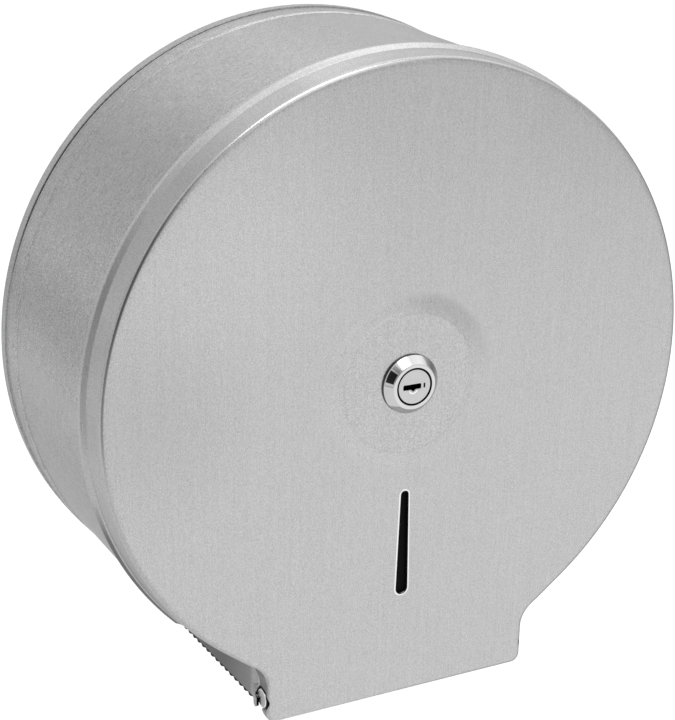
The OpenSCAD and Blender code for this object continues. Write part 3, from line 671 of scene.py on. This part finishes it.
arm = {"rearDepth": 108.8, "out": 63.05, "noseOut": 59.7, "noseRadius": 3.6, "thick": 1.0, "edgeBevel": 0.12,
       "bendRear": 13.7, "bendFront": 10.05, "bendRound": 3.0, "noseRound": 1.6, "top": 115.6,
       "toothDrop": 135.8, "toothHeight": 0.95, "toothPitch": 4.9, "toothStart": 11.0, "teeth": 22,
       "toothShape": [(0, 0), (0.05, 0), (0.5, 0.9), (0.62, 1.0), (0.8, 0.95), (0.93, 0.1), (1.0, 0)],
       "toothRows": [0, 0.05, 0.28, 0.5, 0.56, 0.62, 0.71, 0.8, 0.87, 0.93], "fall": 3.4, "toothless": 2.0,
       "tabFront": 7.2, "tabWidth": 3.2, "tabDrop": 2.7, "cheek": 3.6, "cheekFoot": 1.1,
       "cheekTop": [(7.2, 134.0), (8.2, 133.8), (8.8, 132.6), (9.3, 130.2), (10.0, 129.2), (12.7, 129.4),
                    (13.3, 131.0), (13.7, 133.0)],
       "tongueTop": [(1.2, 133.0), (1.9, 130.2), (4.3, 126.5), (12.7, 117.6), (13.9, 115.6)],
       "seamIn": 0.6, "seamWide": 12.0, "seamRadius": 132.8, "seamFront": 15.4, "seamRear": 84.7,
       "footIn": 0.5, "footLow": 136.0}

armShade = {"bend": 0.55, "bendFade": (11.6, 14.3), "bendFront": (9.7, 10.0), "flat": (61.9, 62.0),
            "crest": 0.8, "crestDepth": 10.3, "crestWide": (0.15, 0.5), "tongue": (60.5, 61.5),
            "rear": 0.62, "front": 0.42, "lightFrom": 14.0, "lightRun": 26.0,
            "rootLine": (-0.43, -0.3), "teethFrom": (10.7, 10.9), "tabEdge": (0.15, 0.3),
            "tabFoot": (-0.5, -0.2), "black": 0.004}


def armPaint(f, base):
    # Painted shade on the cut edges of the teeth and the guard tab, painted light on the bend and its crest,
    # and painted light that fades to the rear
    s = armShade
    x, y, z = f.axesInMm()
    depth, side = y + lid["front"], x.size()
    onFlat = side.step(*s["flat"])
    bend = (1 - depth.step(*s["bendFade"])) * depth.step(*s["bendFront"]).larger(onFlat)
    crest = depth.near(s["crestDepth"], *s["crestWide"]) * (1 - side.step(*s["tongue"]))
    light = s["rear"] + (1 - ((depth - s["lightFrom"]) / s["lightRun"]).held()) * s["front"]
    base = f.scaled(base, (1 + bend * s["bend"] + crest * s["crest"]) * light)
    root = arm["toothDrop"] - arm["toothHeight"]
    drop = -z - depth * (arm["fall"] / arm["rearDepth"])
    teeth = (drop - root).step(*s["rootLine"]) * depth.step(*s["teethFrom"])
    tabFront = 1 - (depth - arm["tabFront"]).step(*s["tabEdge"])
    tabFoot = (-z - (arm["toothDrop"] + arm["tabDrop"])).step(*s["tabFoot"])
    return f.tint(teeth.larger(tabFront.larger(tabFoot) * onFlat), base, s["black"])


def toothEdge(depth):
    # Height of the lower edge: a line that falls towards the wall, less a rounded saw wave,
    # and the guard tab's half round in front
    s = arm
    line = -(s["toothDrop"] - s["toothHeight"]) - s["fall"] / s["rearDepth"] * depth
    wave = between(np.mod((depth - s["toothStart"]) / s["toothPitch"], 1.0), s["toothShape"])
    toothed = (depth > s["toothStart"]) & (depth < s["rearDepth"] - s["toothless"])
    teeth = line - s["toothHeight"] * wave * toothed
    half = s["tabWidth"] / 2
    middle = s["tabFront"] + half
    tab = -s["toothDrop"] - s["tabDrop"] + half - halfChord(half, depth - middle)
    onTab = smooth((middle + half + 0.15 - depth) / 0.3)
    return teeth * (1 - onTab) + tab * onTab


def armLine():
    # Depths of the columns from the wall to the tab's front, close together at the teeth and round the tab
    s = arm
    pitches = np.arange(s["teeth"])[:, None] + np.array(s["toothRows"])
    wave = s["toothStart"] + s["toothPitch"] * pitches.ravel()
    teeth = wave[(wave < s["rearDepth"]) & (wave > s["bendRear"] + 0.05)]
    tab = s["tabFront"] + s["tabWidth"] / 2 * (1 - np.cos(np.linspace(0, math.pi, 17)))
    front = np.linspace(s["toothStart"], s["bendRear"] - 0.3, 7)
    ends = [s["tabFront"] + s["tabWidth"] + 0.3, s["bendRear"], s["rearDepth"]]
    return np.unique(np.concatenate([tab, front, teeth, ends]))[::-1]


def armSheets():
    # The flat lower sheet runs from the toothed edge up to the slit, where a low cheek leans inwards.
    # The upper one shares its line and then follows the bend to the tongue's round nose.
    s = arm
    line = armLine()
    noseFront = hinge["depth"] - s["noseRadius"]
    slit = hinge["drop"]
    plan = fillet([(s["rearDepth"], s["out"]), (s["bendRear"] - 1.5, s["out"]),
                   (s["bendFront"], s["noseOut"]), (noseFront, s["noseOut"])],
                  [s["bendRound"], s["noseRound"]], 9)

    low = toothEdge(line)
    height = low + np.linspace(0, 1, 10)[:, None] * (-between(line, s["cheekTop"]) - low)
    bent = np.maximum(np.interp(line, plan[::-1, 0], plan[::-1, 1]), s["noseOut"])
    lean = np.clip((height + slit - s["cheekFoot"]) / (s["cheek"] - s["cheekFoot"]), 0, 1)
    lower = grid(s["out"] - lean * (s["out"] - 0.1 - bent), line, height)

    shared = line[line >= s["bendRear"] + 0.01]
    bend = plan[plan[:, 0] < s["bendRear"] + 0.005]
    nose = noseFront + (bend[-2, 0] - noseFront) * (1 - np.sin(np.linspace(0, math.pi / 2, 26))[1:])
    depth = np.concatenate([shared, bend[:-1, 0], nose])
    sideways = np.concatenate([0 * shared + s["out"], bend[:-1, 1], 0 * nose + s["noseOut"]])
    fromHinge = depth - hinge["depth"]
    below = np.where(fromHinge > 0, s["noseRadius"], halfChord(s["noseRadius"], fromHinge))
    lowEdge = -slit - np.where(depth > s["bendFront"] + 0.2, 0, below)
    topEdge = np.where(depth < noseFront + 0.01, lowEdge + 0.02, -between(depth, s["tongueTop"]))
    height = lowEdge + np.linspace(0, 1, 12)[:, None] * (topEdge - lowEdge)
    return lower, grid(sideways, depth, height), len(shared)


def armFlanges():
    # A strip bent inwards along the drum's circle, and a foot that lies on the back plate
    s = arm
    depth = np.linspace(s["seamFront"], s["seamRear"], 20)[:, None]
    start = math.asin((s["out"] - s["seamIn"]) / s["seamRadius"])
    turn = start + np.linspace(0, 1, 12) * s["seamWide"] / s["seamRadius"]
    seam = grid(s["seamRadius"] * np.sin(turn), depth, -s["seamRadius"] * np.cos(turn))
    footX = np.linspace(s["out"] - s["footIn"], s["out"] - s["thick"] - s["seamWide"], 6)
    footZ = np.linspace(-s["footLow"], -s["top"], 8)[:, None]
    return seam, grid(footX, s["rearDepth"] - s["thick"], footZ)


def armSurface(side):
    # The four sheets in one mesh; the two upright ones share the vertices of their common line
    lower, upper, shared = armSheets()
    seam, foot = armFlanges()
    sheets = [lower, upper, seam, foot]
    starts = np.cumsum([0] + [sheet.shape[0] * sheet.shape[1] for sheet in sheets])
    tables = [gridIndex(*sheet.shape[:2]) + start for sheet, start in zip(sheets, starts)]
    tables[1][0, :shared] = tables[0][-1, :shared]
    tables[2] = tables[2][:, ::-1]
    faces = np.concatenate([quads(table) for table in tables])
    points = np.concatenate([sheet.reshape(-1, 3) for sheet in sheets]) * (side, 1, 1) - (0, lid["front"], 0)
    return points, faces[:, ::-1] if side > 0 else faces


armLines = (300.0, 60.0, 900.0)     # the arms' grain runs from front to rear
armSteel = brushedSteel("armSteel", grey=0.27, spread=0.3, marksPerMetre=armLines, roughness=0.38,
                        paint=armPaint)
for side, name, cadName in ((-1, "leftArm", "left_tear_arm"), (1, "rightArm", "right_tear_arm")):
    points, faces = armSurface(side)
    armPlate = piece(name, points, faces, [armSteel], "chassis", cadName)
    thicken(armPlate, arm["thick"])
    roundEdges(armPlate, arm["edgeBevel"])
print("stage 4: tear arms made")


# The hinge rivets, from the middle outwards

rivet = {"head": 4.05, "headIn": 61.1, "headOut": 62.05, "edge": 0.45, "shank": 1.8,
         "tailIn": 57.5, "tail": 3.6, "tailOut": 58.7, "rimGlint": (3.5, 3.7), "rimGlintGrey": 0.97}


def rivetPaint(f, base):        # a painted highlight on the head's rim
    return f.tint(away(f, 1, 2, hingeAt).step(*rivet["rimGlint"]), base, rivet["rimGlintGrey"])


def rivetSurface(side):
    # From the domed tail inside the arm, along the shank, to the flat head with its rounded edge
    s = rivet
    a = np.linspace(0, math.pi / 2, 7)
    dome = np.stack([s["tailIn"] + (s["tailOut"] - s["tailIn"]) * (1 - np.cos(a)), s["tail"] * np.sin(a)], 1)
    edge = np.stack([s["headOut"] - s["edge"] * (1 - np.sin(a)), s["head"] - s["edge"] * (1 - np.cos(a))], 1)
    shank = [(s["tailOut"], s["shank"]), (s["headIn"], s["shank"]), (s["headIn"], s["head"])]
    face = [(s["headOut"], s["head"] * 0.6), (s["headOut"], 0)]
    points, index = revolved(np.concatenate([dome, shank, edge, face]))
    points = points * (side, 1, 1) + (0, *hingeAt)
    return points, quads(index) if side > 0 else quads(index)[:, ::-1]


hingeSteel = plainMetal("hingeSteel", grey=0.50, roughness=0.30, paint=rivetPaint)
for side, name, cadName in ((-1, "leftRivet", "left_hinge_rivet"), (1, "rightRivet", "right_hinge_rivet")):
    points, faces = rivetSurface(side)
    piece(name, points, faces, [hingeSteel], "chassis", cadName, creaseAngle=30)
print("stage 5: hinge rivets made")


# The cam lock: bezel and threaded barrel in one, and the plug that turns in it. Fronts and ends are on Y.

lock = {"front": -115.9, "bezel": 12.6, "bezelRim": 0.8, "bezelTop": 9.6, "seat": -111.7, "barrel": 9.0,
        "barrelEnd": -90.55, "endCut": 0.6, "endCutLong": 0.5, "endWall": 3.0, "tailHole": 3.25,
        "bore": 7.97, "boreRim": 0.12, "boreRimDeep": 0.5, "rounding": [0.5, 0.9, 0.12],
        "threadPitch": 1.0, "threadDeep": 0.35, "threadEnd": -104.6, "threadless": 0.6,
        "plugFront": -115.7, "plug": 7.9, "plugEdge": 0.3, "plugEnd": -93.85, "tail": 3.2, "tailEnd": -90.45,
        "square": 2.2, "squareEnd": -88.85,
        "keyDeep": 6.0, "keyLeft": 5.1, "keyRight": 3.1, "keyHalfWide": 1.1, "keyCorner": 0.35,
        "keyNotch": 0.9, "notchLeft": -1.6, "notchFoot": -0.5, "notchRight": 0.6}

# Windows of the room seen in the polished cone, as (degrees from the top to the left, factor)
lockShade = {
    "cone": [(-180, 1.0), (-60, 1.0), (-50, 0.8), (-10, 1.0), (38, 1.0), (39, 0.6), (48, 0.5), (49, 1.3),
             (50.5, 0.9), (51.5, 0.04), (76, 0.04), (77, 1.2), (82, 1.1), (82.6, 0.5), (84, 0.5), (84.6, 1.0),
             (180, 1.0)],
    "coneIn": (9.8, 10.0), "coneOut": (12.1, 12.3),
    "corner": [(-50, 0.0), (-42, 1.0), (140, 1.0), (150, 0.0)], "cornerOut": (12.4, 12.5), "cornerDark": 0.8,
    "ringIn": (7.15, 7.3), "ringOut": (8.02, 8.14), "holeDeep": (0.06, 0.12), "holeWide": (5.6, 5.8),
    "lipAt": (-0.5, -0.9), "lipRadius": 1.9, "lipWide": (0.2, 0.35), "lipLow": (1.3, 1.5),
    "endRight": 4.6, "endWide": (0.35, 0.45), "endTall": (0.95, 1.1),
    "black": 0.004, "ringBlack": 0.006, "cornerBlack": 0.01, "bright": 0.97}


def ringLine(f, base):      # the line between the plug and the bezel
    ring = away(f, 0, 2).band(lockShade["ringIn"], lockShade["ringOut"])
    return f.tint(ring, base, lockShade["ringBlack"])


def bezelPaint(f, base):        # painted reflections of dark windows on the cone, painted shade on its outer corner, and the line round the plug
    s = lockShade
    radius = away(f, 0, 2)
    base = f.shaded(base, radius.band(s["coneIn"], s["coneOut"]), turned(f, s["cone"]))
    corner = radius.step(*s["cornerOut"]) * turned(f, s["corner"]) * s["cornerDark"]
    return f.tint(corner.held(), ringLine(f, base), s["cornerBlack"])


def plugPaint(f, base):
    # The line round the plug, painted shade in the keyhole's inside, a painted highlight on its lower lip,
    # and a dark painted mark at its right end that stands for the keyhole's shaded end
    s = lockShade
    x, y, z = f.axesInMm()
    hole = (y - lock["plugFront"]).step(*s["holeDeep"]) * (1 - away(f, 0, 2).step(*s["holeWide"]))
    end = x.near(s["endRight"], *s["endWide"]) * z.near(0.0, *s["endTall"])
    lip = away(f, 0, 2, s["lipAt"]).near(s["lipRadius"], *s["lipWide"]) * (-z).step(*s["lipLow"])
    return f.tint(hole.larger(end), f.tint(lip * (1 - hole), ringLine(f, base), s["bright"]), s["black"])


def barrelSurface():
    # A closed ring profile: bore, threaded outside, the seat on the lid, the cone and its rounded crown
    s = lock
    thread = np.arange(s["threadEnd"], s["barrelEnd"] - s["threadless"], s["threadPitch"] / 2)[::-1]
    wave = s["barrel"] - s["threadDeep"] * (np.arange(len(thread)) % 2)
    crown = fillet([(s["seat"], s["bezel"]), (s["seat"] - s["bezelRim"], s["bezel"]),
                    (s["front"], s["bezelTop"]), (s["front"], s["bore"] + s["boreRim"]),
                    (s["front"] + s["boreRimDeep"], s["bore"])], s["rounding"], 7)
    boreEnd = s["barrelEnd"] - s["endWall"]
    rings = np.concatenate([[(s["barrelEnd"], s["tailHole"]), (s["barrelEnd"], s["barrel"] - s["endCut"]),
                             (s["barrelEnd"] - s["endCutLong"], s["barrel"])],
                            np.stack([thread, wave], 1), [(s["seat"], s["barrel"])], crown,
                            [(boreEnd, s["bore"]), (boreEnd, s["tailHole"])]])
    points, index = revolved(rings)
    return points[:, [1, 0, 2]], quads(np.concatenate([index, index[:1]]))


def keyOutline():
    # The keyhole's outline with cut corners and a notch in its lower side, more points on its long sides,
    # and for each point the angle on the plug's rim that it is joined to
    s = lock
    left, right, half, cut = s["keyLeft"], s["keyRight"], s["keyHalfWide"], s["keyCorner"]
    corners = [(right, 0), (right, half - cut), (right - cut, half), (0, half), (cut - left, half),
               (-left, half - cut), (-left, 0), (-left, cut - half), (cut - left, -half),
               (s["notchLeft"], -half), (s["notchFoot"], -half - s["keyNotch"]), (s["notchRight"], -half),
               (right - cut, -half), (right, cut - half), (right, 0)]
    steps = [0, 2, 2, 12, 12, 2, 2, 2, 2, 10, 4, 4, 10, 2, 2]
    x, z = np.transpose(corners)
    known = np.cumsum(steps)
    fine = np.arange(known[-1])
    outline = np.stack([np.interp(fine, known, x), np.interp(fine, known, z)], 1)
    return outline, np.unwrap(np.arctan2(outline[:, 1] * 3.0, outline[:, 0]))


def plugSurface():
    # Rings from the square tail to the front, then over the flat front to the keyhole and down to its floor
    s = lock
    outline, angle = keyOutline()
    t = np.linspace(0, math.pi / 2, 5)
    edge = s["plugEdge"] * np.stack([1 - np.sin(t), np.cos(t) - 1], 1) + (s["plugFront"], s["plug"])
    body = [(s["squareEnd"], 0), (s["squareEnd"], s["square"]), (s["tailEnd"], s["square"]),
            (s["tailEnd"], s["tail"]), (s["plugEnd"], s["tail"]), (s["plugEnd"], s["plug"])]
    points, index = revolved(np.concatenate([body, edge]), angle)
    rim = np.stack([np.cos(angle), np.sin(angle)], 1) * (s["plug"] - s["plugEdge"])
    share = np.array([0.3, 0.6, 0.85, 0.96])[:, None, None]
    front = rim * (1 - share) + outline * share
    across = np.concatenate([front, np.repeat(outline[None], 3, 0), outline[None] * 0.0])
    deep = np.array([0, 0, 0, 0, 0.1, 0.3, s["keyDeep"], s["keyDeep"]])[:, None]
    inner = grid(s["plugFront"] + deep, across[..., 0], across[..., 1])
    innerIndex = gridIndex(*inner.shape[:2], closed=True) + len(points)
    innerIndex[-1] = innerIndex[-1, 0]
    points = np.concatenate([points, inner.reshape(-1, 3)])
    return points[:, [1, 0, 2]], quads(np.concatenate([index, innerIndex]))


lockChrome = plainMetal("lockChrome", grey=0.72, roughness=0.09, bumpStrength=0.03, paint=bezelPaint)
plugChrome = plainMetal("plugChrome", grey=0.62, roughness=0.20, bumpStrength=0.05, paint=plugPaint)
points, faces = barrelSurface()
piece("lockBezel", points, faces, [lockChrome], "lid", "lock_barrel", creaseAngle=30)
points, faces = plugSurface()
piece("lockPlug", points, faces, [plugChrome], "lock", "lock_plug", creaseAngle=30)
print("stage 6: lock made")


# Finishes of the frame's own nodes, by the slot that each node's record names

slotFinish = {
    "lid_steel": lidSteel, "drum_steel": wallSteel, "arm_steel": armSteel, "lock_chrome": lockChrome,
    "plate_steel": brushedSteel("plateSteel", grey=0.50, spread=0.6, marksPerMetre=brushLines),
    "rivet_steel": plainMetal("rivetSteel", grey=0.50, roughness=0.30),
    "zinc_steel": plainMetal("zinc", grey=0.52, roughness=0.36),
    "nylon": plainPlastic("nylonWhite", (0.62, 0.60, 0.54), roughness=0.45),
    "hub_plastic": plainPlastic("hubPlastic", (0.055, 0.056, 0.06), roughness=0.5),
    "black_rubber": plainPlastic("blackRubber", (0.02, 0.02, 0.02), roughness=0.6),
    "smoked_plastic": plainPlastic("smokedPlastic", (0.003, 0.003, 0.003), roughness=0.7, specular=0.1)}

for part in frame["record"]["subparts"]:
    node = nodes[part["node"]]
    node.data.materials.clear()
    node.data.materials.append(slotFinish[part["material_slot"]])
print("stage 7: finishes given to the frame's nodes")


# Camera, room, floor and lamps

view = {"place": (-0.3585, -0.7243, 0.2733), "azimuth": -27.97, "elevation": 20.41, "roll": 1.28,
        "lens": 100.44}

# What metal sees of the room: how bright each side is, and between which values it fades in
room = {"diffuse": 0.75, "dim": 0.30, "horizon": 0.60, "ahead": (0.47, -0.883), "aheadFrom": (0.45, 0.85),
        "left": 0.80, "leftFrom": (0.05, 0.45), "back": 0.88, "backFrom": (0.0, 0.7),
        "ceiling": 1.0, "ceilingFrom": (0.0, 0.7), "toRight": 0.3, "rightFrom": (-0.2, 0.3),
        "camera": (-0.44, -0.83, 0.35), "cameraFrom": (0.80, 0.97), "cameraShade": 0.6}

floorPaper = {"drop": 0.32, "size": 24.0, "grey": 0.8, "metalGrey": 0.02, "roughness": 0.9,
              "seen": 0.42, "front": 1.0, "behind": 0.6, "rightFrom": (0.2, 0.5), "rearFrom": (0.0, 0.3),
              "fade": 0.25, "fadeRun": (1.0, 2.4), "middle": -0.11}

lamps = {"keyPanel": {"place": (-0.1, -1.0, 1.6), "target": (0, -0.1, 0), "size": 1.0, "power": 9.0},
         "topPanel": {"place": (0.6, 0.9, 1.5), "target": (0, 0, 0), "size": 1.2, "power": 2.0}}


def placeCamera():
    # Its axes are right, up and back: back comes from azimuth and elevation, roll turns the other two
    azimuth, elevation, roll = (math.radians(view[key]) for key in ("azimuth", "elevation", "roll"))
    back = Vector((math.sin(azimuth) * math.cos(elevation), -math.cos(azimuth) * math.cos(elevation),
                   math.sin(elevation)))
    level = Vector((math.cos(azimuth), math.sin(azimuth), 0.0))
    upright = back.cross(level)
    right = math.cos(roll) * level + math.sin(roll) * upright
    up = -math.sin(roll) * level + math.cos(roll) * upright
    data = bpy.data.cameras.new("camera")
    data.lens, data.sensor_width, data.sensor_fit, data.clip_start = view["lens"], 36.0, "HORIZONTAL", 0.01
    camera = bpy.data.objects.new("camera", data)
    camera.matrix_world = Matrix((right, up, back)).transposed().to_4x4()
    camera.matrix_world.translation = Vector(view["place"])
    scene.collection.objects.link(camera)
    scene.camera = camera


def horizon(x, y, front):
    # What metal sees near the horizon: bright in front to the right, middling left and behind, dim right
    s = room
    far = (x * x + y * y + 0.0001) ** 0.5
    x, y = x / far, y / far
    ahead = (x * s["ahead"][0] + y * s["ahead"][1]).step(*s["aheadFrom"]) * front
    behind = y.step(*s["backFrom"]) * s["back"]
    left = (-x).step(*s["leftFrom"]) * s["left"]
    return ahead.larger(behind).larger(left).larger(s["dim"])


def makeRoom():
    # The camera and glass see plain white; metal sees the horizon, the ceiling and the camera's dark side
    s = room
    world = bpy.data.worlds.new("studio")
    scene.world = world
    w = Finish("studio", world)
    direction = w.node("ShaderNodeTexCoord", out="Generated")
    x, y, z = (w.axis(direction, which) for which in range(3))
    overhead = z.step(*s["ceilingFrom"])
    toRight = x * z.step(*s["rightFrom"]) * s["toRight"]
    around = horizon(x, y, s["horizon"]) * (1 - overhead) + overhead * s["ceiling"] + toRight
    towards = x * s["camera"][0] + y * s["camera"][1] + z * s["camera"][2]
    around = around * (1 - towards.step(*s["cameraFrom"]) * s["cameraShade"])
    glossy = w.node("ShaderNodeLightPath", out="Is Glossy Ray")
    plain = w.node("ShaderNodeLightPath", out="Is Camera Ray").larger(
        w.node("ShaderNodeLightPath", out="Is Transmission Ray"))
    strength = plain + (1 - plain) * (glossy * around + (1 - glossy) * s["diffuse"])
    sky = w.node("ShaderNodeBackground", {}, {"Color": (1, 1, 1, 1), "Strength": strength})
    w.tree.links.new(sky.socket, w.out.inputs[0])


def makeFloor():
    # White paper under the object; metal sees the room's light and dark on it as well
    s = floorPaper
    half = s["size"] / 2
    mesh = bpy.data.meshes.new("floor")
    mesh.from_pydata([(-half, -half, -s["drop"]), (half, -half, -s["drop"]), (half, half, -s["drop"]),
                      (-half, half, -s["drop"])], [], [(0, 1, 2, 3)])
    floor = bpy.data.objects.new("floor", mesh)
    scene.collection.objects.link(floor)
    f = Finish("floorPaper")
    spot = f.node("ShaderNodeTexCoord", out="Object")
    x, rear = f.axis(spot, 0), f.axis(spot, 1)
    y = rear - s["middle"]
    far = (x * x + y * y) ** 0.5
    rightBehind = (x / far).step(*s["rightFrom"]) * (rear / far).step(*s["rearFrom"])
    fading = far.step(*s["fadeRun"]) * s["fade"]
    around = horizon(x, y, s["front"]) * (1 - rightBehind * s["behind"]) * (1 - fading)
    seen = f.node("ShaderNodeLightPath", out="Is Camera Ray")
    glossy = f.node("ShaderNodeLightPath", out="Is Glossy Ray")
    f.shader(Base_Color=f.tint(glossy, s["grey"], s["metalGrey"]), Roughness=s["roughness"],
             Specular_IOR_Level=0.0, Emission_Color=(1, 1, 1, 1),
             Emission_Strength=seen * s["seen"] + (1 - seen) * glossy * around)
    mesh.materials.append(f.owner)


def placeLamp(name, place, target, size, power):       # a square panel that faces the target
    data = bpy.data.lights.new(name, "AREA")
    data.shape, data.size, data.energy = "SQUARE", size, power
    lamp = bpy.data.objects.new(name, data)
    lamp.matrix_world = (Vector(place) - Vector(target)).to_track_quat("Z", "Y").to_matrix().to_4x4()
    lamp.matrix_world.translation = Vector(place)
    scene.collection.objects.link(lamp)


placeCamera()
makeRoom()
makeFloor()
for name, lamp in lamps.items():
    placeLamp(name, **lamp)
scene.view_settings.view_transform = "Standard"
print("stage 8: camera, room and lamps placed")
